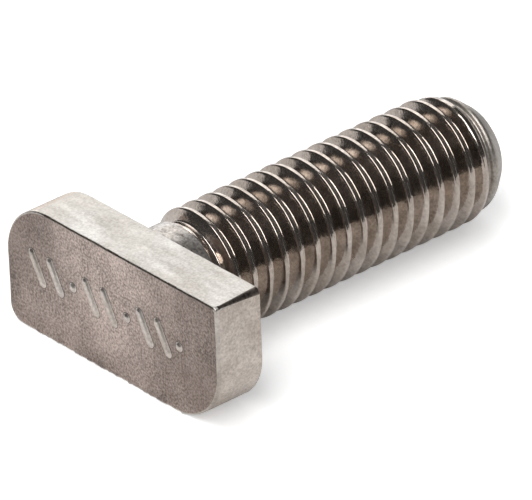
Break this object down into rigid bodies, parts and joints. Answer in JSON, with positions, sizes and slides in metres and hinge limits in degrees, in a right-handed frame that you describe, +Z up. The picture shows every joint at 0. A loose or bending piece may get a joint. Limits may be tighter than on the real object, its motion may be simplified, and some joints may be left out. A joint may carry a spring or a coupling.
{
  "type": "t slot bolt",
  "caption": "T head bolt: a flat oblong head plate rounded on one diagonal, a short plain neck and a full metric thread to a rounded tip.",
  "frame": {"origin": "middle of the bearing face under the head, where the shank's axis crosses it", "axes": "+X along the shank to the tip, +Y along the head's long side, +Z up across the head"},
  "size_m": [0.0348, 0.0234, 0.0104],
  "materials": {
    "stainless_steel": "dull, as forged and thread rolled"
  },
  "bodies": {
    "root": {"t_slot_bolt": "stainless_steel"}
  },
  "joints": []
}
